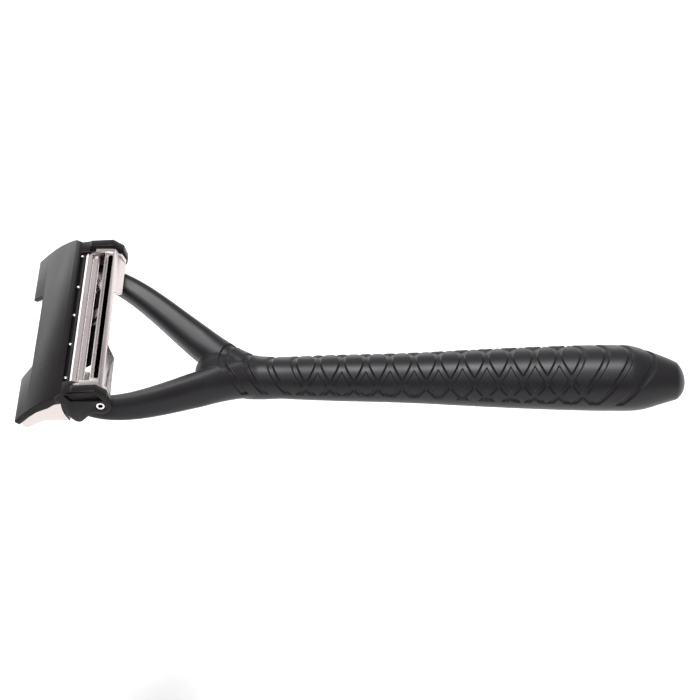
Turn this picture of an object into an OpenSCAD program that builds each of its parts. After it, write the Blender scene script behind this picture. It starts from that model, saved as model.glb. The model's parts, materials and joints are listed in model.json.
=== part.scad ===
// Safety razor with a forked handle and a tilting head that clamps three half blades.
// X runs along the handle towards its free end, Y along the blades, Z up out of the shaving face.

/* [Handle] */
// Length from the crotch of the fork to the free end
handle_len = 114.8; // [95:0.1:140]
// Diameter of the waist behind the fork
waist_d = 9.9; // [8:0.1:12]
// Diameter of the thickest place, near the free end
belly_d = 15.7; // [13:0.1:18]
// Length of the rounded nose behind the thickest place
nose_len = 17; // [13:0.1:20]
// Drop of the nose's tip below the handle's centre line
nose_drop = 1.5; // [0:0.1:2.5]

/* [Fork] */
// Distance from the crotch to the tilt axis, along the handle
fork_reach = 24.5; // [20:0.1:30]
// Height of the tilt axis above the handle's centre line
fork_rise = 13; // [10:0.1:16]
// Width of an arm where it leaves the handle
arm_root_w = 9.5; // [7:0.1:10]
// Width of an arm at its eye
arm_tip_w = 4.3; // [3.6:0.1:5]
// Diameter of the eye at the end of an arm
eye_d = 4.8; // [4.4:0.1:5.2]

/* [Blades] */
// Length of a half blade
blade_len = 43; // [36:0.1:52]
// Width of a half blade, from its edge to its snapped back
blade_w = 11; // [9:0.1:13.5]
// Thickness of a blade
blade_t = 0.1; // [0.08:0.01:0.15]
// Distance from one blade to the next, square to the blades
blade_pitch = 1; // [0.9:0.05:1.2]
// Setback of each edge behind the one before it
blade_setback = 0.95; // [0.7:0.05:1.2]
// Tilt of the blades down towards the back of the head
blade_tilt = 30; // [27:1:33]

/* [Head] */
// Thickness of the end walls beside the blades
end_wall = 1.65; // [1.4:0.05:2.2]
// Thickness of the plate under the first blade
bed_t = 1.5; // [1.4:0.05:1.8]
// Height of the shaving plane above the tilt axis
face_h = 7.2; // [6.8:0.1:7.6]
// Width of the flat, ribbed guard bar in front of the blades
guard_w = 2.25; // [1.8:0.05:2.8]
// Thickness of the cap's ears
ear_t = 2.2; // [1.8:0.05:2.8]
// Thickness of the cap's crown at its lip
lip_t = 0.65; // [0.5:0.05:0.8]
// How far the crown stands out beyond the ears at each end
crown_overhang = 1.2; // [0.8:0.05:1.6]
// Half length of the thumb recess between the cap's rear lobes
recess_half = 12; // [9:0.1:14]

/* [Pins and screws] */
// Diameter of the tilt pins
pivot_d = 2; // [1.6:0.1:2.2]
// Diameter of the cap screws' shanks
screw_d = 1.6; // [1.4:0.1:1.8]
// Diameter of the lock's shaft
shaft_d = 2.4; // [2:0.1:2.8]
// Radial clearance of pins that turn
run = 0.05; // [0.03:0.01:0.08]
// Gap between pieces that slide past each other side by side
gap = 0.2; // [0.15:0.01:0.3]

/* [Lock] */
// Diameter of the thumb knob
knob_d = 10; // [8:0.1:11]
// Height of the thumb knob
knob_h = 3.4; // [2.6:0.1:4]
// Distance from the first blade's edge to the lock's axis, along the blades' slope
lock_u = 7.2; // [6.6:0.1:7.8]

/* [Hidden] */
$fn = 48;

// Places along the handle, from the crotch
waist_x = 19.4;
neck_x = 15;
belly_x = handle_len - nose_len;

// Places across the head, from the middle out
slot_half = blade_len / 2 + 0.1;
wall_out = slot_half + end_wall;
ear_in = wall_out + gap;
ear_out = ear_in + ear_t;
wing_out = ear_out - 0.5;
cap_half = ear_out + crown_overhang;
eye_out = ear_in - 0.55;
eye_in = eye_out - 4.3;
cheek_out = eye_in - 0.4;
cheek_in = cheek_out - 2.6;
cover_half = cheek_in - 3.4;
arm_y = (eye_in + eye_out) / 2;

// Points of the head seen from its end, from the tilt axis: [forward, up]
edge = [1.4, face_h - 0.9];
hinge = [5.2, 3.1];
lip = [-3.2, face_h - 0.1];

// A point on the blades' slope: u back along the blades from the first edge, v up off them
function bed(u, v) = [edge[0] - u * cos(blade_tilt) - v * sin(blade_tilt),
                      edge[1] - u * sin(blade_tilt) + v * cos(blade_tilt)];
function mix(a, b, t) = a + (b - a) * t;
function smooth(t) = t * t * (3 - 2 * t);
function bez2(a, b, c, t) = a * pow(1 - t, 2) + b * 2 * t * (1 - t) + c * t * t;
function bez3(a, b, c, d, t) =
    a * pow(1 - t, 3) + b * 3 * t * pow(1 - t, 2) + c * 3 * t * t * (1 - t) + d * t * t * t;
function arc(c, r, a0, a1, n) = [for (i = [0:n]) c + r * [cos(mix(a0, a1, i / n)), sin(mix(a0, a1, i / n))]];

// Back of the crown follows the blades' width, and the lobes reach past it
back_u = blade_w + 2 * blade_setback + 0.9;
crown_tail = bed(back_u + 2.9, 2);
crown_knee = lip + [-4.6, -0.4];
crown_in_tail = bed(back_u + 1.9, 1.35);
crown_in_lip = lip - [0, lip_t];
crown_in_knee = crown_knee + [0.05, -0.95];

// The whole razor stands with the middle of its box over the origin and its belly on z = 0
x_min = -fork_reach + bed(back_u + 3.1, 1.7)[0];
shift = [-(handle_len + x_min) / 2, 0, belly_d / 2];

module from_handle() {
    translate(shift) children();
}
module from_pivot() {
    from_handle() translate([-fork_reach, 0, fork_rise]) children();
}
// Stands a flat outline of the head's end on edge and gives it a length from y0 to y1
module slab(y0, y1) {
    translate([0, y1, 0]) rotate([90, 0, 0]) linear_extrude(y1 - y0) children();
}
module both_ends(y0, y1) {
    slab(y0, y1) children();
    slab(-y1, -y0) children();
}
// A shaft along Y through a point of the head's end view
module rod(p, r, y0, y1) {
    translate([p[0], y1, p[1]]) rotate([90, 0, 0]) cylinder(h = y1 - y0, r = r);
}
// Puts a piece on the blades' slope: its X runs back along the slope, its Z up off it
module on_bed(u, y, v) {
    translate([bed(u, v)[0], y, bed(u, v)[1]]) rotate([0, -blade_tilt, 0]) mirror([1, 0, 0]) children();
}
module side(s) {
    mirror([0, s < 0 ? 1 : 0, 0]) children();
}
// A closed skin over rings of points, one ring after another, with a fan of triangles on each end
function middle(ring) = [for (k = [0:2]) [for (p = ring) p[k]] * [for (p = ring) 1 / len(ring)]];
module skin(rings) {
    n = len(rings[0]);
    m = len(rings);
    polyhedron(points = concat([for (r = rings) for (p = r) p], [middle(rings[0]), middle(rings[m - 1])]),
               faces = concat([for (i = [0:n - 1]) [m * n, i, (i + 1) % n]],
                              [for (k = [0:m - 2]) for (i = [0:n - 1])
                                  [k * n + i, (k + 1) * n + (i + 1) % n, k * n + (i + 1) % n]],
                              [for (k = [0:m - 2]) for (i = [0:n - 1])
                                  [k * n + i, (k + 1) * n + i, (k + 1) * n + (i + 1) % n]],
                              [for (i = [0:n - 1]) [m * n + 1, (m - 1) * n + (i + 1) % n, (m - 1) * n + i]]),
               convexity = 6);
}

// ---- handle ----
grip_sides = 36;
grip_root = 3;
grip_steps = 22;
nose_steps = 10;
nose_tip_r = 3.6;
// Half thickness of the grip, from the waist to the belly
function grip_r(x) = mix(waist_d, belly_d, pow(max(0, (x - waist_x) / (belly_x - waist_x)), 0.9)) / 2
    + 0.25 * pow(max(0, (waist_x - x) / (waist_x - neck_x)), 2);
// The nose tapers slowly, then closes in a blunt round end
function nose_r(t) = t < 0.28 ? mix(belly_d / 2, belly_d / 2 - 0.7, pow(t / 0.28, 2))
    : mix(belly_d / 2 - 0.7, nose_tip_r, pow((t - 0.28) / 0.72, 1.5));
function grip_ring(x, r, z) = [for (i = [0:grip_sides - 1])
    [x, r * cos(i * 360 / grip_sides), z + r * sin(i * 360 / grip_sides)]];

module grip() {
    body_rings = [for (i = [0:grip_steps]) let (x = mix(neck_x - grip_root, belly_x, i / grip_steps))
        grip_ring(x, grip_r(max(x, neck_x)), 0)];
    nose_rings = [for (i = [1:nose_steps]) let (t = i / nose_steps)
        grip_ring(belly_x + (nose_len - 1) * t, nose_r(t), -nose_drop * smooth(t))];
    end_ring = [grip_ring(handle_len - 0.35, nose_tip_r * 0.8, -nose_drop),
                grip_ring(handle_len, nose_tip_r * 0.4, -nose_drop)];
    skin(concat(body_rings, nose_rings, end_ring));
}

arm_sides = 16;
arm_steps = 13;
arm_points = [[neck_x - 1.4, 0.4, 0.2],
              [1.9, 0.145 * arm_y, 2.4],
              [-0.596 * fork_reach, 1.2 * arm_y, 0.745 * fork_rise],
              [-fork_reach, arm_y, fork_rise]];
function arm_at(t) = bez3(arm_points[0], arm_points[1], arm_points[2], arm_points[3], t);
function arm_half(t) = arm_tip_w / 2 + (arm_root_w - arm_tip_w) / 2 * pow(1 - t, 1.15);
function unit(v) = v / norm(v);
function squared(a) = sign(a) * pow(abs(a), 0.75);
function arm_ring(t) =
    let (along = unit(arm_at(min(1, t + 0.01)) - arm_at(max(0, t - 0.01))),
         across = unit(cross([0, 0, 1], along)),
         upward = cross(along, across),
         r = arm_half(t))
    [for (i = [0:arm_sides - 1]) let (a = (i + 0.5) * 360 / arm_sides)
        arm_at(t) + across * r * squared(cos(a)) + upward * r * squared(sin(a))];

module arm() {
    difference() {
        union() {
            skin([for (i = [0:arm_steps]) arm_ring(i / arm_steps * 0.985)]);
            translate([-fork_reach, eye_out, fork_rise]) rotate([90, 0, 0])
                cylinder(h = eye_out - eye_in, d = eye_d);
        }
        translate([-fork_reach, eye_out + 1, fork_rise]) rotate([90, 0, 0])
            cylinder(h = eye_out - eye_in + 2, d = pivot_d);
        // the arm's end is faced off flat on both sides of the eye
        for (y = [eye_in - 5, eye_out])
            translate([-fork_reach - 4, y, fork_rise - 4]) cube([7.6, 5, 8]);
    }
}

web_r = 4.6;
// The grip, the neck and both arms of the fork are one casting
module handle() {
    color([0.13, 0.13, 0.14]) from_handle() {
        grip();
        arm();
        mirror([0, 1, 0]) arm();
        // web in the crotch, which runs on into the neck
        hull() {
            translate([web_r, 0, 2.2]) sphere(r = web_r, $fn = 32);
            translate([neck_x - 0.4, 0, 0]) rotate([0, 90, 0])
                cylinder(h = 0.3, r = grip_r(neck_x) - 0.05, $fn = 32);
        }
    }
}

// ---- tilt joint ----
pin_in = cover_half + 0.5;
module pivot_pin(s) {
    color([0.75, 0.75, 0.77]) from_pivot() side(s) difference() {
        rod([0, 0], pivot_d / 2, pin_in, eye_out - 0.4);
        // groove that the clip snaps into
        difference() {
            rod([0, 0], pivot_d, pin_in + 0.3, pin_in + 0.65);
            rod([0, 0], pivot_d / 2 - 0.25, pin_in, pin_in + 1);
        }
    }
}
module pivot_clip(s) {
    color([0.7, 0.7, 0.72]) from_pivot() side(s) difference() {
        rod([0, 0], pivot_d / 2 + 0.8, pin_in + 0.32, pin_in + 0.62);
        rod([0, 0], pivot_d / 2 - 0.25, pin_in, pin_in + 1);
        slab(pin_in, pin_in + 1) translate([-0.55, -4]) square([1.1, 4]);
    }
}
coil_r = pivot_d / 2 + 0.6;
wire_d = 0.4;
coil_turns = 2.5;
module return_spring(s) {
    y0 = pin_in + 0.8;
    y1 = cheek_in - 0.3;
    steps = coil_turns * 14;
    lead = (y1 - y0 - wire_d) / coil_turns;
    color([0.72, 0.72, 0.74]) from_pivot() side(s)
        skin([for (k = [0:steps]) let (a = 90 + k * 360 / 14,
                                       c = [cos(a), 0, sin(a)],
                                       y = y0 + wire_d / 2 + lead * k / 14)
            [for (i = [0:7]) c * (coil_r + wire_d / 2 * cos(i * 45))
                + [0, y + wire_d / 2 * sin(i * 45), 0]]]);
}

// ---- head base ----
bed_front = [0.9, -blade_t / 2];
guard_back = 2.65;
guard_front = guard_back + guard_w;
wall_foot = [7.2, 3.65];
wall_head = [guard_front + 0.3, face_h - 0.2];
guard_outline = [[guard_back, face_h], [guard_front, face_h], wall_head, mix(wall_head, wall_foot, 0.28),
                 [guard_front + 0.35, face_h - 1.9], [guard_back, face_h - 1.9]];
wall_outline = [wall_head, wall_foot, wall_foot + [-0.9, -0.35], [guard_front - 0.5, face_h - 1.5],
                [guard_front - 0.3, face_h - 0.4]];
// Side view of the frame round the blade window, down to the hinge boss and the bed
frame_outline = concat([[guard_back - 2.25, face_h + 0.12], [4.4, face_h + 0.2], [6.4, face_h - 1.5], [7.25, 3.7]],
                       arc(hinge, 1.95, 0, -110, 8),
                       [[2.6, 3.2], bed(2.6, -1.9), bed(6, -1.9), bed(6, 1), bed(2.6, 1.3), bed(1.9, 1.4),
                        [guard_back - 2.25, face_h - 0.6]]);
wing_r = 8.75;
wing_outline = [bed(5.8, 0.9), bed(back_u - 4.2, 1.1), bed(back_u - 1.2, 0.9), bed(back_u + 1, 0.1),
                bed(back_u + 3.05, -0.15), bed(back_u + 3.3, -1.5), bed(back_u + 2.9, -2.4), bed(back_u + 1.4, -2.4),
                bed(back_u - 1.6, -2.5), bed(9.4, -3.8), bed(6.6, -5.8), bed(5.8, -5.2)];
groove_w = 0.3;
groove_t = 0.4;
lock_boss_r = shaft_d / 2 + 1.3;
lock_boss_v = -3.45;
magnet_r = 1.5;
magnet_t = 1;
magnet_y = 0.55 * slot_half;
magnet_u = blade_w * 0.55;
cover_top_v = -2.5;
cover_t = 0.8;
cover_back_u = 11.2;
cover_screw_u = cover_back_u - 1.1;
cover_screw_y = 9;

// The lobes of the front wall, cut away in the middle along an S-shaped cove
module cove() {
    top = face_h - 1.05;
    low = wall_foot[1] - 1;
    path = [for (i = [0:8]) [recess_half - 3.65 * i / 8, mix(low, top, smooth(i / 8))]];
    translate([guard_back, 0, 0]) rotate([90, 0, 90]) linear_extrude(9)
        polygon(concat(path, [for (i = [8:-1:0]) [-path[i][0], path[i][1]]]));
}

module head_base() {
    color([0.86, 0.84, 0.85]) from_pivot() difference() {
        union() {
            // bed under the first blade
            slab(-slot_half - 0.2, slot_half + 0.2)
                polygon([bed(bed_front[0], bed_front[1]), bed(back_u - 0.2, bed_front[1]),
                         bed(back_u - 0.2, -bed_t), bed(bed_front[0] + 0.9, -bed_t)]);
            // rear rim under the cap's lobes
            both_ends(recess_half + 3, slot_half + 0.2)
                polygon([bed(back_u - 0.6, 0.1), bed(back_u + 1, 0.1), bed(back_u + 3.05, -0.15),
                         bed(back_u + 2.9, -2.4), bed(back_u - 0.6, -bed_t)]);
            // guard bar, front wall and its two lobes
            slab(-wall_out, wall_out) polygon(guard_outline);
            difference() {
                slab(-wall_out, wall_out) polygon(wall_outline);
                cove();
            }
            both_ends(slot_half, wall_out) polygon(frame_outline);
            both_ends(cheek_out + 0.8, wall_out) translate(hinge) circle(r = 1.95);
            both_ends(slot_half, wing_out) difference() {
                polygon(wing_outline);
                translate(hinge) circle(r = wing_r);
            }
            both_ends(slot_half, wall_out) polygon([bed(5, 0.9), bed(9, 0.9), bed(9, -1.5), bed(5, -1.5)]);
            // cheeks that carry the tilt pins
            both_ends(cheek_in, cheek_out) hull() {
                circle(r = eye_d / 2 + 0.1, $fn = 32);
                polygon([[2.9, 3.9], bed(1.9, -1.2), bed(8.4, -1.2), bed(8.4, -1.6)]);
            }
            // centre bridge across the window: a broad rib and a slim one with a slot between them
            for (rib = [[0.1, 3.1], [-2.3, -1.4]])
                slab(rib[0], rib[1]) polygon([[guard_back + 0.1, face_h - 0.45], [guard_back + 0.1, face_h - 1.8],
                                              bed(1.9, -1.3), bed(1.2, -0.6)]);
            on_bed(lock_u, 0, lock_boss_v) cylinder(h = -lock_boss_v - 0.5, r = lock_boss_r);
            for (s = [-1, 1]) on_bed(cover_screw_u, s * cover_screw_y, cover_top_v)
                cylinder(h = -cover_top_v - 0.5, r = 1.3);
        }
        // three grooves leave four ribs on the guard
        for (k = [1:3])
            translate([guard_back + k * guard_w / 4 - groove_w / 2, 0.9 - slot_half, face_h - groove_t])
                cube([groove_w, 2 * slot_half - 1.8, 1]);
        // room for the fork's eyes
        both_ends(cheek_out, ear_in) circle(r = eye_d / 2 + 0.35);
        // bores for the tilt bushes, the cap screws, the lock and the cover's screws
        rod([0, 0], pivot_d / 2 + 0.6, -cheek_out - 0.1, cheek_out + 0.1);
        for (s = [-1, 1]) side(s) rod(hinge, screw_d / 2, slot_half - 1, wall_out + 1);
        on_bed(lock_u, 0, lock_boss_v - 1) cylinder(h = 8, r = shaft_d / 2 + run);
        on_bed(lock_u, 0, -0.95) cylinder(h = 3, r = 2.1);
        for (s = [-1, 1]) on_bed(cover_screw_u, s * cover_screw_y, cover_top_v - 0.5) cylinder(h = 2.2, r = 0.6);
        // magnet pockets
        for (s = [-1, 1]) on_bed(magnet_u, s * magnet_y, -magnet_t - blade_t / 2) cylinder(h = 3, r = magnet_r);
        // notch in the back edge that the cap's tongue swings through
        slab(-tongue_half - gap, tongue_half + gap) difference() {
            polygon([bed(back_u - 3, 1), bed(back_u + 1, 1), bed(back_u + 1, -3), bed(back_u - 3, -3)]);
            translate(hinge) circle(r = tongue_swing);
        }
        // slots in the end walls that hold the shelves
        for (k = [0:1])
            both_ends(slot_half - 0.5, slot_half + shelf_tab) polygon(shelf_outline(k, tab_lead, tab_inset));
    }
}

// ---- shelves and blades ----
shelf_play = 0.03;
shelf_tab = 0.8;
// How far a shelf's nose and its end tabs start behind the edge of the blade under it
nose_lead = 0.35;
tab_lead = blade_setback + 1.25;
// The tabs are a little thinner and shorter than the shelf itself
tab_inset = 0.05;
shelf_t = blade_pitch - blade_t - 2 * shelf_play;
function shelf_outline(k, lead, inset) =
    let (u0 = blade_setback * k + lead, u1 = blade_w + blade_setback * k - 0.9 - inset,
         v0 = blade_pitch * k + blade_t / 2 + shelf_play + inset, v1 = v0 + shelf_t - 2 * inset)
    [bed(u0 + 0.1, v0), bed(u1, v0), bed(u1, v1), bed(u0 + 0.85, v1), bed(u0, v0 + 0.15)];
notch_depth = 3;
module shelf(k) {
    color([0.8, 0.79, 0.8]) from_pivot() {
        slab(gap - slot_half, slot_half - gap) polygon(shelf_outline(k, nose_lead, 0));
        slab(-slot_half - shelf_tab, slot_half + shelf_tab) polygon(shelf_outline(k, tab_lead, tab_inset));
    }
}
module blade(k) {
    u0 = blade_setback * k;
    v0 = blade_pitch * k - blade_t / 2;
    ear = 4.6;
    color([0.9, 0.9, 0.92]) from_pivot() on_bed(u0, 0, v0) linear_extrude(blade_t) difference() {
        translate([0, -blade_len / 2]) square([blade_w, blade_len]);
        // half of a double-edge blade's slot, its middle hole and its clipped corners
        translate([blade_w - 1.7, -blade_len / 2 + ear]) square([2, blade_len - 2 * ear]);
        for (y = [-0.3, 0, 0.3]) translate([blade_w, y * blade_len]) circle(r = notch_depth);
        for (s = [-1, 1]) translate([blade_w - 1.6, s * blade_len / 2 - (s > 0 ? 1.6 : 0)]) square([2, 1.6]);
    }
}

module pivot_bush(s) {
    color([0.72, 0.56, 0.3]) from_pivot() side(s) difference() {
        union() {
            rod([0, 0], pivot_d / 2 + 0.6, cheek_in, cheek_out);
            rod([0, 0], pivot_d / 2 + 1, cheek_out, cheek_out + 0.25);
        }
        rod([0, 0], pivot_d / 2 + run, cheek_in - 1, cheek_out + 1);
    }
}
module magnet(s) {
    color([0.7, 0.7, 0.73]) from_pivot() on_bed(magnet_u, s * magnet_y, -magnet_t - blade_t / 2)
        cylinder(h = magnet_t - 0.03, r = magnet_r);
}

// ---- under cover ----
module under_cover() {
    front = [guard_front - 0.3, face_h - 1.92];
    color([0.1, 0.1, 0.11]) from_pivot() difference() {
        union() {
            // flaps under the ends of the window
            both_ends(cover_half - 0.5, cheek_in - 0.3)
                polygon([front - [0.1, 0.1], front - [0.5, 0.7], [2.3, 3.2], [2.3, 4.3], [guard_back + 0.45, face_h - 2.6],
                         [guard_back + 0.4, face_h - 2.02]]);
            slab(-cover_half, cover_half)
                polygon([front, front - [0.4, 0.8], bed(2.2, cover_top_v - cover_t),
                         bed(cover_back_u, cover_top_v - cover_t), bed(cover_back_u, cover_top_v),
                         bed(2.6, cover_top_v), [guard_back + 0.35, face_h - 2.6], [guard_back + 0.3, face_h - 1.92]]);
        }
        on_bed(lock_u, 0, -6) cylinder(h = 6, r = lock_boss_r + 0.1);
        for (s = [-1, 1]) on_bed(cover_screw_u, s * cover_screw_y, -6) cylinder(h = 6, r = 0.65);
    }
}
module cover_screws() {
    color([0.78, 0.78, 0.8]) from_pivot() for (s = [-1, 1])
        on_bed(cover_screw_u, s * cover_screw_y, cover_top_v - cover_t) difference() {
            union() {
                cylinder(h = 2.4, r = 0.6);
                translate([0, 0, -0.7]) cylinder(h = 0.7, r = 1.15);
            }
            translate([0, 0, -1]) cylinder(h = 0.75, r = 0.45, $fn = 6);
        }
}

// ---- cap ----
head_r = 1.15;
hinge_head_t = 0.75;
module hinge_screw(s) {
    color([0.85, 0.83, 0.82]) from_pivot() side(s) difference() {
        union() {
            rod(hinge, screw_d / 2, slot_half + 0.1, ear_out - hinge_head_t);
            rod(hinge, head_r - 0.2, ear_out - hinge_head_t, ear_out - 0.1);
        }
        translate([hinge[0], ear_out + 0.1, hinge[1]]) rotate([90, 0, 0]) cylinder(h = 0.7, r = 0.6, $fn = 6);
    }
}

crown_steps = 14;
crown_outline = concat([for (i = [0:crown_steps]) bez2(lip, crown_knee, crown_tail, i / crown_steps)],
                       [bed(back_u + 3.1, 1.7), bed(back_u + 2.6, 1.35)],
                       [for (i = [crown_steps:-1:0]) bez2(crown_in_lip, crown_in_knee, crown_in_tail, i / crown_steps)]);
// Closed outline of the cap's end, from the crown down to the edge over the base's wing
end_outline = concat([[-0.9, face_h + 0.25]], [for (i = [0:crown_steps]) bez2(lip, crown_knee, crown_tail, i / crown_steps)],
                     [bed(back_u + 3.1, 1.7), bed(back_u + 2.6, 0.5), bed(back_u - 0.8, 1.4), bed(back_u - 3, 1.75),
                      bed(7.9, 1.5), bed(6, 1.75), [-3.6, 4.2], [-0.9, 4.2]]);
ear_top = face_h + 0.75;
ear_outline = concat([[-0.9, face_h + 0.45], [-3.7, face_h - 2.4], [-3.25, 3.1], [-2.6, 0.9], [-1.6, -0.65]],
                     arc([0.05, -0.5], 1.3, -140, -45, 5), [[3.1, 0.85]],
                     arc(hinge, 2.3, -120, 20, 9), [[6.75, face_h - 1], [4.3, ear_top]]);
pocket_outline = [[-2.7, 6.35], [-0.9, face_h + 0.1], [4.1, face_h + 0.25], [5, 5.9], [5.8, 4.85], [-1.2, 4.45]];
pocket_depth = 0.8;
corner_cut = 1.4;
tongue_half = 4.5;
tongue_t = 0.65;
tongue_u = back_u - 0.7;
window_half = tongue_half - 1.4;
tongue_v = -5.2;
tongue_swing = norm(bed(tongue_u, tongue_v) - hinge) - 0.25;
cam_v = lock_boss_v - 0.1;
cam_t = 0.8;

module cap() {
    color([0.15, 0.14, 0.15]) from_pivot() difference() {
        union() {
            difference() {
                slab(-cap_half, cap_half) polygon(crown_outline);
                // thumb recess between the lobes
                translate([bed(back_u, 0)[0] - 8.85, 0, -20]) linear_extrude(60)
                    polygon([[-2, -recess_half - 5.6], [7.9, -recess_half + 0.2], [7.9, recess_half - 0.2],
                             [-2, recess_half + 5.6]]);
            }
            both_ends(wing_out - 0.1, cap_half) difference() {
                polygon(end_outline);
                translate([-3.2, 3]) square([3, 1.6]);
            }
            both_ends(ear_in, ear_out) polygon(ear_outline);
            // the crown reaches forward beside the blades to meet the ears
            both_ends(slot_half + 0.2, ear_out)
                polygon([lip, [-0.9, face_h + 0.25], [-0.9, face_h - 0.4], crown_in_lip]);
            // tongue behind the base, with a window for the lock's cam
            slab(-tongue_half, tongue_half)
                polygon([bed(tongue_u, 2.1), bed(tongue_u - 0.4, 2.7), bed(tongue_u + 0.15, 2.7),
                         bed(tongue_u + tongue_t, 1.8), bed(tongue_u + tongue_t, tongue_v),
                         bed(tongue_u, tongue_v)]);
        }
        // the crown's front corners are cut off outside the ears
        for (s = [-1, 1]) side(s) linear_extrude(60, center = true)
            polygon([[lip[0] + 0.1, ear_out], [lip[0] + 12, ear_out], [lip[0] + 12, cap_half + 1],
                     [lip[0] - corner_cut, cap_half + 1], [lip[0] - corner_cut, cap_half]]);
        // dark pocket in each ear, open at the top
        both_ends(ear_out - pocket_depth, ear_out + 3) polygon(pocket_outline);
        // the ears turn on the screws, whose heads sit in counterbores
        for (s = [-1, 1]) side(s) {
            rod(hinge, screw_d / 2 + run, ear_in - 0.5, ear_out + 1);
            rod(hinge, head_r, ear_out - hinge_head_t - run, ear_out + 1);
        }
        slab(-window_half, window_half) polygon([bed(tongue_u - 1, cam_v + 0.25), bed(tongue_u + 3, cam_v + 0.25),
                                 bed(tongue_u + 3, cam_v - cam_t - 0.25), bed(tongue_u - 1, cam_v - cam_t - 0.25)]);
    }
}

// ---- clamp inside the cap ----
clamp_v = 2 * blade_pitch + blade_t / 2 + 0.03;
clamp_half = slot_half - 0.1;
pin_r = 0.45;
pin_u = 2 * blade_setback + 1.35;
pin_ys = [for (k = [-2:2]) k * 0.45 * clamp_half + (abs(k) == 2 ? sign(k) * 0.055 * clamp_half : 0)];
module clamp_bar() {
    u0 = 2 * blade_setback + 0.75;
    color([0.08, 0.08, 0.09]) from_pivot() difference() {
        slab(-clamp_half, clamp_half)
            polygon([bed(u0, clamp_v), bed(9.4, clamp_v), bed(9.4, clamp_v + 0.75), bed(6.2, clamp_v + 0.75),
                     bed(4.9, clamp_v + 0.5), bed(4.1, clamp_v + 0.28), bed(u0, clamp_v + 0.28)]);
        for (y = pin_ys) on_bed(pin_u, y, clamp_v - 1) cylinder(h = 3, r = pin_r);
    }
}
module clamp_pins() {
    color([0.92, 0.9, 0.9]) from_pivot() for (y = pin_ys) on_bed(pin_u, y, clamp_v) {
        cylinder(h = 0.35, r = pin_r);
        translate([0, 0, 0.35]) intersection() {
            sphere(r = pin_r);
            cylinder(h = 1, r = 1);
        }
    }
}

// ---- lock under the head ----
knob_top_v = cam_v - cam_t;
knob_ribs = 24;
cam_reach = tongue_u + tongue_t - lock_u - 0.2;
module lock_knob() {
    color([0.14, 0.14, 0.15]) from_pivot() on_bed(lock_u, 0, 0) {
        difference() {
            union() {
                translate([0, 0, knob_top_v - knob_h]) cylinder(h = knob_h - 0.4, d = knob_d);
                translate([0, 0, knob_top_v - 0.4]) cylinder(h = 0.4, d1 = knob_d, d2 = knob_d - 0.8);
                translate([0, 0, knob_top_v - 0.1]) cylinder(h = -knob_top_v - 0.85, d = shaft_d);
            }
            for (k = [0:knob_ribs - 1]) rotate([0, 0, k * 360 / knob_ribs])
                translate([knob_d / 2 + 0.25, 0, knob_top_v - knob_h - 1]) cylinder(h = knob_h + 2, r = 0.55, $fn = 16);
            translate([0, 0, -3.2]) cylinder(h = 3, r = 0.55);
        }
    }
}
module lock_cam() {
    color([0.8, 0.8, 0.82]) from_pivot() on_bed(lock_u, 0, cam_v - cam_t) linear_extrude(cam_t - 0.03)
        difference() {
            union() {
                circle(r = shaft_d / 2 + 1.6);
                translate([-1.6, 0]) square([3.2, cam_reach - 0.6]);
                translate([-1.3, 0]) square([2.6, cam_reach]);
            }
            circle(d = shaft_d);
        }
}
module lock_screw() {
    color([0.8, 0.8, 0.82]) from_pivot() on_bed(lock_u, 0, -0.93) difference() {
        union() {
            translate([0, 0, 0.2]) cylinder(h = 0.55, r1 = 1.9, r2 = 1.7);
            translate([0, 0, -2.1]) cylinder(h = 2.5, r = 0.55);
        }
        translate([-2.5, -0.2, 0.5]) cube([5, 0.4, 1]);
    }
}
module lock_washer() {
    color([0.78, 0.74, 0.6]) from_pivot() on_bed(lock_u, 0, -0.93) difference() {
        cylinder(h = 0.18, r = 2);
        translate([0, 0, -1]) cylinder(h = 3, r = 0.6);
    }
}

handle();
pivot_pin(1);  // pivot_pin_left
pivot_pin(-1);  // pivot_pin_right
pivot_clip(1);  // pivot_clip_left
pivot_clip(-1);  // pivot_clip_right
return_spring(1);  // return_spring_left
return_spring(-1);  // return_spring_right
head_base();
pivot_bush(1);  // pivot_bush_left
pivot_bush(-1);  // pivot_bush_right
magnet(1);  // magnet_left
magnet(-1);  // magnet_right
blade(0);  // blade_first
blade(1);  // blade_second
blade(2);  // blade_third
shelf(0);  // lower_shelf
shelf(1);  // upper_shelf
under_cover();
cover_screws();
hinge_screw(1);  // hinge_screw_left
hinge_screw(-1);  // hinge_screw_right
cap();
clamp_bar();
clamp_pins();
lock_knob();
lock_cam();
lock_screw();
lock_washer();
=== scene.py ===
# %% [markdown]
# # A tilting-head safety razor
# The razor is a cast handle that forks into two arms, a plated head that tilts between them, and
# a black cap that clamps half blades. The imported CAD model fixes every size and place. This
# script gives each piece its finished surface: cast and coated skins where the CAD is plain, soft
# edges where it is sharp, and a finish for every metal.

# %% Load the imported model
import json
import math

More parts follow.
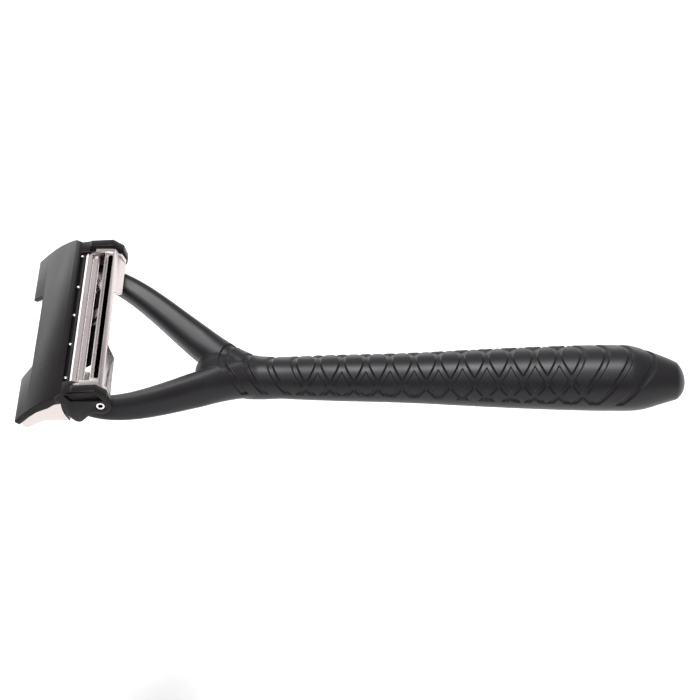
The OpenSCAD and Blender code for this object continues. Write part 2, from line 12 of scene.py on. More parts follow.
import bmesh
import bpy
import numpy as np
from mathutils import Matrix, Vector


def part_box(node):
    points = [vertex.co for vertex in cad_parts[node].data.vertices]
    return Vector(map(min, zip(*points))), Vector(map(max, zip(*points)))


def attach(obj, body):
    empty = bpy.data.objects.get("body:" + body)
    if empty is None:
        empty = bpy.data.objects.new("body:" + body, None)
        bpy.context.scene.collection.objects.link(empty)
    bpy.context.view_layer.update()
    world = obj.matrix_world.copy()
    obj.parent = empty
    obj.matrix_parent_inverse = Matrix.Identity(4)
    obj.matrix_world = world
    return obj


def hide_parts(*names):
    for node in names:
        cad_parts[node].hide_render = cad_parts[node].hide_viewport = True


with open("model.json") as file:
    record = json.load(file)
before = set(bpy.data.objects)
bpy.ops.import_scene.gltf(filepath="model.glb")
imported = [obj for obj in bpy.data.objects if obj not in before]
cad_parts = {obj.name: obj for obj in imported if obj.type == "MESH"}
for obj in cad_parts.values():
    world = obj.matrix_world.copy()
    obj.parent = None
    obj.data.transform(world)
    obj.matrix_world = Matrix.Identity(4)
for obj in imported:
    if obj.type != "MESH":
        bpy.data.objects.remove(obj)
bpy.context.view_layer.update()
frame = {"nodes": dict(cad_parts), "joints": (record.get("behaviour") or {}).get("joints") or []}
print("nodes", len(frame["nodes"]))

# %% [markdown]
# ## Shared measures
# Places come from the frame: the joint axes are the best landmarks on a razor, because the whole
# head is built round them. Distances along the handle are counted in millimetres from the crotch
# of the fork, where the two arms part.

# %% Landmarks
MM = 0.001
JOINTS = {joint["name"]: joint for joint in frame["joints"]}
TILT_AXIS = Vector(JOINTS["head_pivot"]["pos_m"])
CAP_AXIS = Vector(JOINTS["cap_hinge"]["pos_m"])
FORK_REACH = 24.5
FORK_RISE = 13.0
CROTCH = TILT_AXIS + Vector((FORK_REACH, 0, -FORK_RISE)) * MM
print("tilt axis", [round(value / MM, 2) for value in TILT_AXIS])
print("crotch of the fork", [round(value / MM, 2) for value in CROTCH])


# %% [markdown]
# ## Camera
# The razor lies along X and is seen from the front and above with a long lens, so its far end is
# hardly smaller than its near end. The camera is made first, so that every later step can be
# looked at.

# %% Camera
CAMERA_PLACE = Vector((-2.2, -354.15, 352.5)) * MM
CAMERA_TILT = math.radians(46.54)
lens = bpy.data.cameras.new("camera")
lens.lens = 108.0
lens.sensor_width = 36.0
lens.clip_start = 0.01
camera = bpy.data.objects.new("camera", lens)
bpy.context.scene.collection.objects.link(camera)
camera.location = CAMERA_PLACE
camera.rotation_euler = (CAMERA_TILT, 0, 0)
bpy.context.scene.camera = camera
print("camera looks down", round(90 - math.degrees(CAMERA_TILT), 1), "degrees")

# %% [markdown]
# ## Small tools for materials
# A finish is easiest to judge in the hex values that a paint card gives, but shaders work in
# linear light, so one function converts them. Another adds a node with its settings and its
# links, which keeps each material short.


# %% Material tools
def linear(hex_colour):
    """sRGB hex to the linear colour that a shader takes."""
    channels = [int(hex_colour[place:place + 2], 16) / 255 for place in (1, 3, 5)]
    return [c / 12.92 if c <= 0.04045 else ((c + 0.055) / 1.055) ** 2.4 for c in channels] + [1.0]


def add_node(tree, kind, inputs=None, **settings):
    """Adds one node. An input is a plain value, or (node, output name) for a link."""
    node = tree.nodes.new(kind)
    for name, value in settings.items():
        setattr(node, name, value)
    for name, value in (inputs or {}).items():
        if isinstance(value, tuple) and isinstance(value[0], bpy.types.Node):
            tree.links.new(value[0].outputs[value[1]], node.inputs[name])
        else:
            node.inputs[name].default_value = value
    return node


def new_material(name):
    """An empty material and its node tree."""
    material = bpy.data.materials.new(name)
    material.use_nodes = True
    material.node_tree.nodes.clear()
    return material, material.node_tree


print("mid grey is", round(linear("#808080")[0], 3), "in linear light")

# %% [markdown]
# ## Powder-coated zinc
# The handle and cap are zinc castings with a baked powder coat. The powder melts into a skin with
# a faint orange-peel grain, so highlights are broad and slightly broken, and the black is never
# quite flat. The grain is a noise with a real cell size, used for bump, for a small change of
# roughness, and for a little variation of the black.


# %% Coats
COAT_CLOUD_MM = 11
CLOUD_LOW, CLOUD_HIGH = 0.3, 0.7
SHEEN_BELOW, SHEEN_ABOVE = 0.03, 0.04


def powder_coat(name, dark, light, roughness, grain_mm, grain_depth_mm, gloss=0.25):
    """A baked coat: dark and light are its two blacks, grain is the orange peel's cell and height."""
    material, tree = new_material(name)
    place = add_node(tree, "ShaderNodeTexCoord")
    grain = add_node(tree, "ShaderNodeTexNoise",
                     {"Vector": (place, "Object"), "Scale": 1 / (grain_mm * MM), "Detail": 2.0,
                      "Roughness": 0.55})
    cloud = add_node(tree, "ShaderNodeTexNoise",
                     {"Vector": (place, "Object"), "Scale": 1 / (COAT_CLOUD_MM * MM), "Detail": 3.0})
    colour = add_node(tree, "ShaderNodeMix", {"Factor": (cloud, "Fac")}, data_type="RGBA")
    colour.inputs["A"].default_value = linear(dark)
    colour.inputs["B"].default_value = linear(light)
    sheen_range = add_node(tree, "ShaderNodeMapRange",
                           {"Value": (cloud, "Fac"), "From Min": CLOUD_LOW, "From Max": CLOUD_HIGH,
                            "To Min": roughness - SHEEN_BELOW, "To Max": roughness + SHEEN_ABOVE})
    bump = add_node(tree, "ShaderNodeBump",
                    {"Height": (grain, "Fac"), "Distance": grain_depth_mm * MM, "Strength": 0.6})
    surface = add_node(tree, "ShaderNodeBsdfPrincipled",
                       {"Roughness": (sheen_range, "Result"), "Normal": (bump, "Normal"), "IOR": 1.5,
                        "Specular IOR Level": gloss})
    tree.links.new(colour.outputs["Result"], surface.inputs["Base Color"])
    add_node(tree, "ShaderNodeOutputMaterial", {"Surface": (surface, "BSDF")})
    return material


# the satin black that a hand wraps: broad soft highlight, fine tooth
handle_coat = powder_coat("satin_black_powder_coat", "#1b191c", "#222023", 0.39, 0.30, 0.008)
# the cap's coat is darker and tighter, so its crown goes from black at the lip to grey at the back
cap_coat = powder_coat("matte_black_powder_coat", "#171517", "#1d1a1c", 0.29, 0.24, 0.006, 0.16)
# anodised aluminium knob: harder, tighter highlight
knob_coat = powder_coat("black_anodised_aluminium", "#161618", "#1e1e20", 0.30, 0.20, 0.006)
# moulded POM plastic under the head and in the clamp bar, with a fine spark-eroded grain; its black is
# darker than the coats as painted shade, so the open head and the gap under the cap read deep
shade_black_plastic = powder_coat("painted_shade_black_plastic", "#09090b", "#0e0e10", 0.45, 0.35, 0.010)
print("coats", handle_coat.name, cap_coat.name, knob_coat.name, shade_black_plastic.name)

# %% [markdown]
# ## Painted recess shade
# A black darker than the coats is painted into the pocket in each ear as shade: almost no light
# comes back out of it, so it reads as a deep hole.

# %% Painted recess shade
recess_painted_shade, tree = new_material("black_painted_recess_shade")
place = add_node(tree, "ShaderNodeTexCoord")
grain = add_node(tree, "ShaderNodeTexNoise", {"Vector": (place, "Object"), "Scale": 1 / (0.2 * MM)})
bump = add_node(tree, "ShaderNodeBump", {"Height": (grain, "Fac"), "Distance": 0.01 * MM, "Strength": 0.5})
recess_shade_surface = add_node(tree, "ShaderNodeBsdfPrincipled",
                  {"Base Color": linear("#0e0e11"), "Roughness": 0.38, "Specular IOR Level": 0.22,
                   "Normal": (bump, "Normal")})
add_node(tree, "ShaderNodeOutputMaterial", {"Surface": (recess_shade_surface, "BSDF")})
print("recess", recess_painted_shade.name)

# %% [markdown]
# ## Plated and brushed metals
# The head is a zinc casting under satin nickel and chrome, the blades are rolled and honed
# stainless steel, and the small parts are turned steel, spring wire and bronze. All are metals,
# so their colour is in the reflection. What sets them apart is how rough they are and the fine
# scratches that run along the way they were worked.


# %% Metals
METAL_CLOUD_MM = 6
WEAR_SPREAD = 0.05
SCRATCH_SHADE = 0.93


def worked_metal(name, colour, roughness, scratch_mm, scratch_depth_mm, along, stretch):
    """A metal with fine scratches along one axis, drawn out to stretch times their width."""
    material, tree = new_material(name)
    place = add_node(tree, "ShaderNodeTexCoord")
    scale = [1.0, 1.0, 1.0]
    scale[along] = 1.0 / stretch
    lined = add_node(tree, "ShaderNodeMapping", {"Vector": (place, "Object"), "Scale": scale})
    scratch = add_node(tree, "ShaderNodeTexNoise",
                       {"Vector": (lined, "Vector"), "Scale": 1 / (scratch_mm * MM), "Detail": 3.0})
    cloud = add_node(tree, "ShaderNodeTexNoise",
                     {"Vector": (place, "Object"), "Scale": 1 / (METAL_CLOUD_MM * MM), "Detail": 2.0})
    wear = add_node(tree, "ShaderNodeMapRange",
                    {"Value": (cloud, "Fac"), "From Min": CLOUD_LOW, "From Max": CLOUD_HIGH,
                     "To Min": roughness - WEAR_SPREAD, "To Max": roughness + WEAR_SPREAD})
    tone = add_node(tree, "ShaderNodeMix", {"Factor": (scratch, "Fac")}, data_type="RGBA")
    light = linear(colour)
    tone.inputs["A"].default_value = [SCRATCH_SHADE * c for c in light[:3]] + [1.0]
    tone.inputs["B"].default_value = light
    bump = add_node(tree, "ShaderNodeBump",
                    {"Height": (scratch, "Fac"), "Distance": scratch_depth_mm * MM, "Strength": 0.5})
    surface = add_node(tree, "ShaderNodeBsdfPrincipled",
                       {"Metallic": 1.0, "Roughness": (wear, "Result"), "Normal": (bump, "Normal")})
    tree.links.new(tone.outputs["Result"], surface.inputs["Base Color"])
    add_node(tree, "ShaderNodeOutputMaterial", {"Surface": (surface, "BSDF")})
    return material


ALONG_Y, ALONG_Z = 1, 2
# satin plating over a polished casting: pale, faintly warm, and only just lined
plating = worked_metal("satin_nickel_plated_zinc", "#cdc4c3", 0.25, 0.25, 0.0015, ALONG_Y, 12)
# rolled blade strip: brighter, with lines along the strip
blade_steel = worked_metal("honed_stainless_strip", "#ebe3e3", 0.18, 0.12, 0.002, ALONG_Y, 60)
# blanked and tumbled shelves between the blades
shelf_steel = worked_metal("tumbled_stainless_sheet", "#dcd3d3", 0.28, 0.30, 0.002, ALONG_Y, 12)
# turned and polished screws, pins and nubs
screw_steel = worked_metal("turned_stainless_steel", "#e0dada", 0.20, 0.10, 0.003, ALONG_Y, 3)
# drawn spring wire and punched clips
spring_steel = worked_metal("drawn_spring_steel", "#a8a5a4", 0.28, 0.15, 0.004, ALONG_Y, 4)
# oil-filled bronze of the bushes
bronze = worked_metal("sintered_bronze", "#a9803f", 0.42, 0.20, 0.010, ALONG_Y, 1)
# nickel on the magnets
magnet_nickel = worked_metal("nickel_plated_magnet", "#c9c8ca", 0.16, 0.40, 0.002, ALONG_Z, 2)
print("metals", plating.name, blade_steel.name, screw_steel.name)

# %% [markdown]
# ## Building the handle
# The casting has no flat faces at all, so it is grown the way a sculptor would: simple bodies for
# the grip, the arms and the web are swept through measured stations, melted into one skin with a
# voxel remesh, smoothed where they meet, and only then is the grip's relief pressed in. The
# remesh is what gives the crotch its soft, poured look.


# %% Sweeps
def new_piece(name, vertices, faces):
    """A mesh object from plain lists."""
    mesh = bpy.data.meshes.new(name)
    mesh.from_pydata([tuple(v) for v in vertices], [], [tuple(f) for f in faces])
    mesh.validate()
    piece = bpy.data.objects.new(name, mesh)
    bpy.context.scene.collection.objects.link(piece)
    return piece


def loft(name, rings):
    """A closed skin over rings that all have the same number of points."""
    count = len(rings[0])
    vertices = [point for ring in rings for point in ring]
    faces = []
    for k in range(len(rings) - 1):
        for i in range(count):
            j = (i + 1) % count
            faces.append((k * count + i, k * count + j, (k + 1) * count + j, (k + 1) * count + i))
    faces.append(tuple(reversed(range(count))))
    faces.append(tuple((len(rings) - 1) * count + i for i in range(count)))
    return new_piece(name, vertices, faces)


def smooth_curve(stations, wanted):
    """A smooth line through (place, value) stations that doesn't overshoot between them."""
    x = np.array([s[0] for s in stations], float)
    y = np.array([s[1] for s in stations], float)
    slope = np.diff(y) / np.diff(x)
    before, after = slope[:-1], slope[1:]
    middle = np.where(after * before > 0, 2 * after * before / (after + before + 1e-12), 0)
    tangent = np.concatenate([[slope[0]], middle, [slope[-1]]])
    wanted = np.clip(wanted, x[0], x[-1])
    k = np.clip(np.searchsorted(x, wanted) - 1, 0, len(x) - 2)
    h = x[k + 1] - x[k]
    t = (wanted - x[k]) / h
    return ((2 * t**3 - 3 * t**2 + 1) * y[k] + (t**3 - 2 * t**2 + t) * h * tangent[k]
            + (3 * t**2 - 2 * t**3) * y[k + 1] + (t**3 - t**2) * h * tangent[k + 1])


def to_frame(points):
    """Points counted in millimetres from the crotch, in the frame's metres."""
    return np.array(points, float) * MM + np.array(CROTCH)


print("sweep tools ready")

# %% [markdown]
# ## The grip
# Its waist is behind the fork and its belly near the free end, where it fills the palm. The nose
# drops a little and closes blunt. Each station is a distance from the crotch and a radius, and
# the nose's end is a rounded curve.

# %% Grip body
HANDLE_END = (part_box("handle")[1].x - CROTCH.x) / MM
NOSE_START = HANDLE_END - 2.2
RADIUS_STATIONS = [(9, 5.0), (14.9, 5.12), (19.4, 4.95), (24.1, 5.15), (33.5, 5.5), (42.9, 5.72),
                   (52.4, 6.05), (61.8, 6.55), (71.2, 7.0), (80.6, 7.4), (90, 7.7), (95.5, 7.8),
                   (99.4, 7.8), (101.3, 7.74), (103.2, 7.5), (105.1, 7.05), (107, 6.47), (108.8, 5.85),
                   (110.7, 5.2), (NOSE_START, 4.5)]
DROP_STATIONS = [(9, 0), (98.5, 0), (101.3, -0.06), (103.2, -0.26), (105, -0.45), (108.8, -0.62),
                 (110.7, -0.75), (112.6, -0.95), (HANDLE_END, -1.45)]
BELLY = 95.5
NOSE_ROUNDING = 1.25
GRIP_START = 11.0
GRIP_STEP = 0.6
NOSE_RINGS = 11
GRIP_SIDES = 72


def grip_radius(along):
    """Radius at a distance from the crotch, with the rounded end of the nose."""
    body = smooth_curve(RADIUS_STATIONS, along)
    into_nose = np.clip((along - NOSE_START) / (HANDLE_END - NOSE_START), 0, 1)
    return body * np.sqrt(np.clip(1 - into_nose**NOSE_ROUNDING, 0, 1))


def ring_about_axis(along, radius, drop):
    """A round section of the grip, its middle drop above the axis."""
    turns = np.linspace(0, 2 * math.pi, GRIP_SIDES, endpoint=False)
    return [(along, radius * math.cos(a), drop + radius * math.sin(a)) for a in turns]


into_end = np.sin(np.linspace(0, 0.5 * math.pi, NOSE_RINGS, endpoint=False))
grip_places = np.concatenate([np.arange(GRIP_START, NOSE_START, GRIP_STEP),
                              NOSE_START + (HANDLE_END - NOSE_START) * into_end])
grip_rings = [to_frame(ring_about_axis(a, float(grip_radius(a)), float(smooth_curve(DROP_STATIONS, a))))
              for a in grip_places]
grip = loft("grip_body", grip_rings)
print("grip rings", len(grip_rings), "belly", round(2 * float(grip_radius(BELLY)), 2), "mm across")

# %% [markdown]
# ## The arms
# Each arm is a bent bar whose section is a rounded square that leans outward, so that one soft
# ridge runs along its inner top edge. The section is a superellipse: a power under one squares a
# circle up without giving it real corners.

# %% Arms
ARM_Y = 20.75
ARM_TIP_HALF = 2.2
ARM_ROOT_HALF = 4.8
ARM_SIDES = 40
ARM_STEPS = 60
ARM_STOP = 0.985
ARM_TAPER = 1.15
SQUARENESS = 0.62
ROUND_ROOT = 0.35
LEAN = math.radians(20)
ARM_BEND = [np.array(p) for p in ((13.6, 0.4, 0.3), (1.9, 3.0, 2.4),
                                  (-0.596 * FORK_REACH, 1.2 * ARM_Y, 9.7),
                                  (-FORK_REACH, ARM_Y, FORK_RISE))]


def arm_middle(t):
    """Where the arm's middle line is, from 0 in the neck to 1 at the eye: a Bezier curve."""
    a, b, c, d = ARM_BEND
    return a * (1 - t)**3 + 3 * b * t * (1 - t)**2 + 3 * c * t * t * (1 - t) + d * t**3


def arm_ring(t):
    """The arm's section at t, square to its middle line."""
    along = arm_middle(min(1, t + 0.01)) - arm_middle(max(0, t - 0.01))
    along /= np.linalg.norm(along)
    across = np.cross((0, 0, 1), along)
    across /= np.linalg.norm(across)
    upward = np.cross(along, across)
    half = ARM_TIP_HALF + (ARM_ROOT_HALF - ARM_TIP_HALF) * (1 - t)**ARM_TAPER
    # at the neck the section is a plain circle, so that it melts into the round grip
    into_arm = min(1, t / ROUND_ROOT)**2
    power = 1 + (SQUARENESS - 1) * into_arm
    points = []
    for i in range(ARM_SIDES):
        turn = 2 * math.pi * i / ARM_SIDES
        squared = [math.copysign(abs(v)**power, v) * half for v in (math.cos(turn), math.sin(turn))]
        side = squared[0] * math.cos(LEAN) + squared[1] * math.sin(LEAN)
        rise = squared[1] * math.cos(LEAN) - squared[0] * math.sin(LEAN)
        points.append(arm_middle(t) + across * side + upward * rise)
    return np.array(points)


arm_rings = [arm_ring(t) for t in np.linspace(0, ARM_STOP, ARM_STEPS)]
MIRROR = np.array((1, -1, 1))
left_arm = loft("left_arm_body", [to_frame(ring) for ring in arm_rings])
right_arm = loft("right_arm_body", [to_frame(ring[::-1] * MIRROR) for ring in arm_rings])
print("arm", ARM_STEPS, "rings; half width", ARM_ROOT_HALF, "to", ARM_TIP_HALF, "mm")

# %% [markdown]
# ## Eyes and web
# A short barrel at each arm's end carries the tilt pin, and an egg of metal fills the crotch.
# Both are plain bodies here, because the remesh will melt them into the arms.

# %% Eyes and web
EYE_IN, EYE_OUT, EYE_HALF = 18.6, 22.9, 2.4
EYE_RIM = 0.35
EYE_SIDES = 48
WEB_PLACE = np.array((5.5, 0, 2.0))
WEB_HALF = np.array((6.0, 5.6, 4.2))
WEB_SIDES, WEB_RINGS = 40, 24
WEB_POLE = 0.05


def barrel(name, y_near, y_far):
    """A barrel about the tilt axis with slightly rounded rims."""
    turns = np.linspace(0, 2 * math.pi, EYE_SIDES, endpoint=False)
    rings = [to_frame([(-FORK_REACH + r * math.sin(a), y, FORK_RISE + r * math.cos(a)) for a in turns])
             for y, r in ((y_near, EYE_HALF - EYE_RIM), (y_near + EYE_RIM, EYE_HALF),
                          (y_far - EYE_RIM, EYE_HALF), (y_far, EYE_HALF - EYE_RIM))]
    return loft(name, rings)


def web_ring(b):
    """A ring of the egg, b radians from its pole."""
    turns = np.linspace(0, 2 * math.pi, WEB_SIDES, endpoint=False)
    return [WEB_PLACE + WEB_HALF * np.array((math.cos(b), math.sin(b) * math.cos(a),
                                             math.sin(b) * math.sin(a))) for a in turns]


left_eye = barrel("left_eye_body", EYE_IN, EYE_OUT)
right_eye = barrel("right_eye_body", -EYE_OUT, -EYE_IN)
web = loft("web_body", [to_frame(web_ring(b)) for b in np.linspace(WEB_POLE, math.pi - WEB_POLE, WEB_RINGS)])
print("web egg", [round(2 * v, 1) for v in WEB_HALF], "mm")

# %% [markdown]
# ## One casting
# The bodies are joined and voxel remeshed at an eighth of a millimetre, which is fine enough for
# the relief's walls. Smoothing then runs hardest round the crotch and neck and hardly at all at
# the eyes.

# %% Melt the bodies together
VOXEL = 0.13 * MM


def apply_modifiers(piece):
    """Bakes a piece's modifiers into its mesh."""
    graph = bpy.context.evaluated_depsgraph_get()
    mesh = bpy.data.meshes.new_from_object(piece.evaluated_get(graph))
    piece.modifiers.clear()
    piece.data = mesh
    return piece


def wind_outward(piece):
    """Turns every face of a closed body outward."""
    work = bmesh.new()
    work.from_mesh(piece.data)
    bmesh.ops.recalc_face_normals(work, faces=work.faces)
    work.to_mesh(piece.data)
    work.free()


def join(name, pieces):
    """One object out of several."""
    work = bmesh.new()
    for piece in pieces:
        work.from_mesh(piece.data)
        bpy.data.objects.remove(piece)
    mesh = bpy.data.meshes.new(name)
    work.to_mesh(mesh)
    work.free()
    joined = bpy.data.objects.new(name, mesh)
    bpy.context.scene.collection.objects.link(joined)
    return joined


bodies = [grip, left_arm, right_arm, left_eye, right_eye, web]
for body in bodies:
    wind_outward(body)
handle = join("handle_casting", bodies)
remesh = handle.modifiers.new("melt", "REMESH")
remesh.mode = "VOXEL"
remesh.voxel_size = VOXEL
apply_modifiers(handle)
print("casting", len(handle.data.vertices), "vertices")


# %% Smooth the joins
SMOOTH_EVERYWHERE, SMOOTH_MORE_AT_NECK, SMOOTH_ROUNDS = 0.12, 0.55, 45
NECK_NEAR, NECK_FULL, NECK_LEAVE, NECK_FAR = -9, -1, 14, 20


def coordinates(mesh):
    """Vertex places as an array."""
    points = np.empty(len(mesh.vertices) * 3, np.float32)
    mesh.vertices.foreach_get("co", points)
    return points.reshape(-1, 3).astype(float)


def set_coordinates(mesh, points):
    """Puts every vertex at its row of points."""
    mesh.vertices.foreach_set("co", points.astype(np.float32).ravel())
    mesh.update()


def relax(mesh, weights, rounds):
    """Laplacian smoothing with a weight for each vertex."""
    points = coordinates(mesh)
    ends = np.empty(len(mesh.edges) * 2, np.int32)
    mesh.edges.foreach_get("vertices", ends)
    ends = ends.reshape(-1, 2)
    degree = np.bincount(ends.ravel(), minlength=len(points)).astype(float)[:, None]
    for _ in range(rounds):
        total = np.stack([np.bincount(ends[:, 0], points[ends[:, 1], axis], len(points))
                          + np.bincount(ends[:, 1], points[ends[:, 0], axis], len(points))
                          for axis in range(3)], axis=1)
        points += weights[:, None] * (total / degree - points)
    set_coordinates(mesh, points)


def ramp(value, low, high):
    """0 below low, 1 above high, and smooth between."""
    t = np.clip((value - low) / (high - low), 0, 1)
    return t * t * (3 - 2 * t)


along = (coordinates(handle.data)[:, 0] - CROTCH.x) / MM
neck_weight = ramp(along, NECK_NEAR, NECK_FULL) * (1 - ramp(along, NECK_LEAVE, NECK_FAR))
relax(handle.data, SMOOTH_EVERYWHERE + SMOOTH_MORE_AT_NECK * neck_weight, SMOOTH_ROUNDS)
print("smoothed; handle end at", round((coordinates(handle.data)[:, 0].max() - CROTCH.x) / MM, 2), "mm")

# %% [markdown]
# ## The relief
# The grooves are two families of curved lines over the top of the grip. Every line starts square
# across the top and then sweeps down both sides: one family sweeps towards the free end, the
# other towards the fork. Where both run, they cut the surface into pointed pads, and where only
# one runs they are nested chevrons. All the grooves end on a level border along each flank, below
# which the belly stays smooth. So one distance function draws the whole pattern.

# %% Press the relief into the grip
GROOVE_PITCH = 5.61
FIRST_APEX = 5.95
TOWARDS_END = range(0, 15)
TOWARDS_FORK = range(4, 19)
SWEEP_SLOPE = 0.85
SWEEP_ROUND = 4.75
GROOVE_HALF = 0.64
FIRST_GROOVE_HALF = 0.9
WALL = 0.22
GROOVE_DEPTH = 0.5
BORDER_SLOPE = 0.15
EDGE_SOFTENING = 0.1
NECK_RISE_STATIONS = [(-2, 3.2), (1.5, 3.0), (6, 2.4), (10.4, 1.4), (15, 0.55), (21, 0.1), (25, 0),
                      (92, 0), (100, -0.12), (105, -0.45), (109, -0.64)]
BORDER_STATIONS = [(0, -0.9), (12, -0.8), (36, -0.45), (60, -0.8), (86, -1.2), (100, -1.5)]


def groove_depth(points):
    """How deep each point lies in a groove, from 0 on a pad to 1 on a groove's floor."""
    u = (points[:, 0] - CROTCH.x) / MM
    y = points[:, 1] / MM
    z = (points[:, 2] - CROTCH.z) / MM - smooth_curve(NECK_RISE_STATIONS, u)
    radius = np.hypot(y, z)
    run = radius * np.abs(np.arctan2(y, z))
    sweep = SWEEP_SLOPE * (np.sqrt(run**2 + SWEEP_ROUND**2) - SWEEP_ROUND)
    lean = np.cos(np.arctan(SWEEP_SLOPE * run / np.sqrt(run**2 + SWEEP_ROUND**2)))
    depth = np.zeros(len(points))
    for family, direction in ((TOWARDS_END, 1), (TOWARDS_FORK, -1)):
        for k in family:
            half = FIRST_GROOVE_HALF if k == 0 else GROOVE_HALF
            away = np.abs(u - (FIRST_APEX + GROOVE_PITCH * k) - direction * sweep) * lean
            depth = np.maximum(depth, 1 - ramp(away, half - WALL / 2, half + WALL / 2))
    above_border = ramp(z - smooth_curve(BORDER_STATIONS, u), -BORDER_SLOPE, BORDER_SLOPE)
    return depth * above_border


def outward(mesh):
    """Vertex normals as an array."""
    normals = np.empty(len(mesh.vertices) * 3, np.float32)
    mesh.vertex_normals.foreach_get("vector", normals)
    return normals.reshape(-1, 3).astype(float)


points = coordinates(handle.data)
pressed = groove_depth(points)
set_coordinates(handle.data, points - outward(handle.data) * (pressed * GROOVE_DEPTH * MM)[:, None])
relax(handle.data, np.full(len(points), EDGE_SOFTENING), 1)
handle.data.shade_smooth()
handle.data.materials.append(handle_coat)
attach(handle, "handle")
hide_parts("handle")
print("grooves", len(TOWARDS_END) + len(TOWARDS_FORK))
print("share of skin pressed", round(float(pressed.mean()), 3))

# %% [markdown]
# ## Soft edges on machined and cast parts
# No real edge is perfectly sharp, and the thin bright line along an edge is what tells the eye
# that a part is metal. For the cap and the base, the CAD's own shape is right, so a copy of it is
# cleaned into flat facets and given a small rounded edge. The copy then stands for the CAD node.


# %% Edge tool
WELD_MM = 0.002
FLAT_WITHIN, ROUND_FROM, CREASE_FROM = (math.radians(angle) for angle in (0.6, 30, 50))
EDGE_SEGMENTS = 2


def soft_edged(node, name, edge_mm, body, material):
    """A copy of a CAD node's shape with its edges rounded by edge_mm."""
    work = bmesh.new()
    work.from_mesh(frame["nodes"][node].data)
    bmesh.ops.remove_doubles(work, verts=work.verts, dist=WELD_MM * MM)
    bmesh.ops.dissolve_limit(work, angle_limit=FLAT_WITHIN, verts=work.verts, edges=work.edges,
                             delimit={"NORMAL"})
    mesh = bpy.data.meshes.new(name)
    work.to_mesh(mesh)
    work.free()
    piece = bpy.data.objects.new(name, mesh)
    bpy.context.scene.collection.objects.link(piece)
    bevel = piece.modifiers.new("edge", "BEVEL")
    bevel.width = edge_mm * MM
    bevel.segments = EDGE_SEGMENTS
    bevel.limit_method = "ANGLE"
    bevel.angle_limit = ROUND_FROM
    bevel.use_clamp_overlap = False
    bevel.miter_outer = "MITER_ARC"
    apply_modifiers(piece)
    piece.data.shade_smooth()
    piece.data.set_sharp_from_angle(angle=CREASE_FROM)
    piece.data.materials.append(material)
    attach(piece, body)
    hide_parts(node)
    return piece


CAP_EDGE, BASE_EDGE = 0.16, 0.09
cap = soft_edged("cap", "cap_shell", CAP_EDGE, "lid", cap_coat)
print("cap", len(cap.data.vertices), "vertices")
base = soft_edged("head_base", "head_frame", BASE_EDGE, "head", plating)
print("base", len(base.data.vertices), "vertices")

# %% [markdown]
# ## The dark pockets
# The floor and walls of each ear's pocket take the painted recess shade, a black darker than the
# coat that is painted there as shade.

# %% Pockets
EAR_OUT = 25.65
POCKET_FLOOR = EAR_OUT - 0.8
COUNTERBORE_RADIUS = 1.25
SOCKET_RADIUS = 0.62
SCREW_FACE = EAR_OUT - 0.12
# second material slot: painted shade, a black darker than the coat, for the pocket floors
cap.data.materials.append(recess_painted_shade)
pocket_faces = 0
for face in cap.data.polygons:
    inset = abs(abs(face.center.y) / MM - POCKET_FLOOR)
    if inset < 0.05 and abs(face.normal.y) > 0.9:
        face.material_index = 1
        pocket_faces += 1
print("pocket faces", pocket_faces)


def off_cap_axis(point):
    """Distance from the cap screws' axis, in millimetres."""
    return math.hypot(point.x - CAP_AXIS.x, point.z - CAP_AXIS.z) / MM


# painted shade: the counterbore round each screw's head takes the same dark recess black as the pocket
for face in cap.data.polygons:
    if off_cap_axis(face.center) < COUNTERBORE_RADIUS and abs(face.center.y) / MM > POCKET_FLOOR - 0.1:
        face.material_index = 1

# %% [markdown]
# ## Finishes for the rest
# The small parts are right as they come from CAD: turned, punched or wound. Each gets the finish
# of its own trade.

# %% Finishes of the CAD nodes
TURNED_CREASE = math.radians(32)
FINISHES = {
    "blade_first": blade_steel, "blade_second": blade_steel, "blade_third": blade_steel,
    "lower_shelf": shelf_steel, "upper_shelf": shelf_steel,
    # the clamp bar and the under cover take the near-black plastic, whose extra dark is painted shade
    "clamp_bar": shade_black_plastic, "clamp_pins": screw_steel, "under_cover": shade_black_plastic, "cover_screws": screw_steel,
    "hinge_screw_left": screw_steel, "hinge_screw_right": screw_steel,
    "pivot_pin_left": screw_steel, "pivot_pin_right": screw_steel,
    "pivot_clip_left": spring_steel, "pivot_clip_right": spring_steel,
    "return_spring_left": spring_steel, "return_spring_right": spring_steel,
    "pivot_bush_left": bronze, "pivot_bush_right": bronze,
    "magnet_left": magnet_nickel, "magnet_right": magnet_nickel,
    "lock_knob": knob_coat, "lock_cam": shelf_steel, "lock_screw": screw_steel, "lock_washer": spring_steel,
}
for node, material in FINISHES.items():
    mesh = frame["nodes"][node].data
    mesh.materials.clear()
    mesh.materials.append(material)
    mesh.shade_smooth()
    mesh.set_sharp_from_angle(angle=TURNED_CREASE)
# painted shade: the hex socket in each cap screw is deep, so its inside is painted black as shade
for node in ("hinge_screw_left", "hinge_screw_right"):
    mesh = frame["nodes"][node].data
    mesh.materials.append(recess_painted_shade)
    for face in mesh.polygons:
        if off_cap_axis(face.center) < SOCKET_RADIUS and POCKET_FLOOR < abs(face.center.y) / MM < SCREW_FACE:
            face.material_index = 1
print("finished", len(FINISHES), "CAD nodes")

# %% [markdown]
# ## The studio
# The razor lies over a white sweep, the way small metal goods are shot: a soft box overhead gives
# every rounded top one broad highlight, and a weak, wider one in front fills the shadows. The
# room itself is a gradient: a white wall behind and to the left, which the blades and the cap's
# back slopes mirror, and a dim room in front, which keeps the black of the coats.

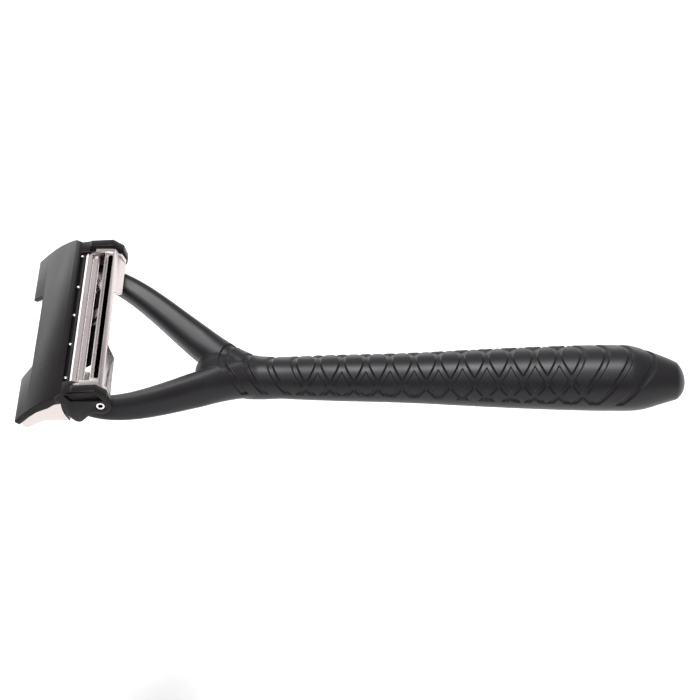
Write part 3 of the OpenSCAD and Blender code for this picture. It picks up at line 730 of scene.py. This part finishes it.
# %% Floor
FLOOR_DROP = 0.12
FLOOR_HALF = 6.0
work = bmesh.new()
bmesh.ops.create_grid(work, x_segments=1, y_segments=1, size=FLOOR_HALF)
mesh = bpy.data.meshes.new("floor")
work.to_mesh(mesh)
work.free()
floor = bpy.data.objects.new("floor", mesh)
bpy.context.scene.collection.objects.link(floor)
floor.location.z = -FLOOR_DROP
floor_paint, tree = new_material("white_sweep")
paper = add_node(tree, "ShaderNodeBsdfDiffuse", {"Color": linear("#f6f6f6")})
add_node(tree, "ShaderNodeOutputMaterial", {"Surface": (paper, "BSDF")})
mesh.materials.append(floor_paint)
print("floor", FLOOR_DROP, "m below the razor")


# %% Lights
def panel(name, tilt, width, power):
    """A far, round soft light: tilt degrees forward of straight overhead, and width degrees across."""
    light = bpy.data.lights.new(name, "SUN")
    light.energy = power
    light.angle = math.radians(width)
    stand = bpy.data.objects.new(name, light)
    bpy.context.scene.collection.objects.link(stand)
    stand.rotation_euler = (math.radians(tilt), 0, 0)


panel("overhead", 1, 22, 3.3)
panel("front_fill", 30, 44, 0.8)
world = bpy.data.worlds.new("studio")
world.use_nodes = True
tree = world.node_tree
tree.nodes.clear()
BACK_WALL = Vector((-0.3, 0.8, -0.9))
# share of the full glow from the dim front of the room round to the back wall's foot
WALL_STOPS = [(0.0, 0.05), (0.39, 0.15), (0.58, 0.19), (0.73, 0.29), (0.96, 1.0)]
WALL_BASE, WALL_SPAN, WALL_GLOW = 0.6, 1.45, 4.0
toward = add_node(tree, "ShaderNodeTexCoord")
facing = add_node(tree, "ShaderNodeVectorMath", {0: (toward, "Generated"), 1: BACK_WALL},
                  operation="DOT_PRODUCT")
share = add_node(tree, "ShaderNodeMapRange",
                 {"Value": (facing, "Value"), "From Min": -WALL_BASE,
                  "From Max": WALL_SPAN - WALL_BASE})
glow = add_node(tree, "ShaderNodeValToRGB", {"Fac": (share, "Result")})
stops = glow.color_ramp.elements
for place, value in WALL_STOPS[1:-1]:
    stops.new(place)
for stop, (place, value) in zip(stops, WALL_STOPS):
    stop.position = place
    stop.color = (value, value, value, 1)
wall = add_node(tree, "ShaderNodeBackground", {"Color": (glow, "Color"), "Strength": WALL_GLOW})
add_node(tree, "ShaderNodeOutputWorld", {"Surface": (wall, "Background")})
bpy.context.scene.world = world
bpy.context.scene.view_settings.view_transform = "Standard"
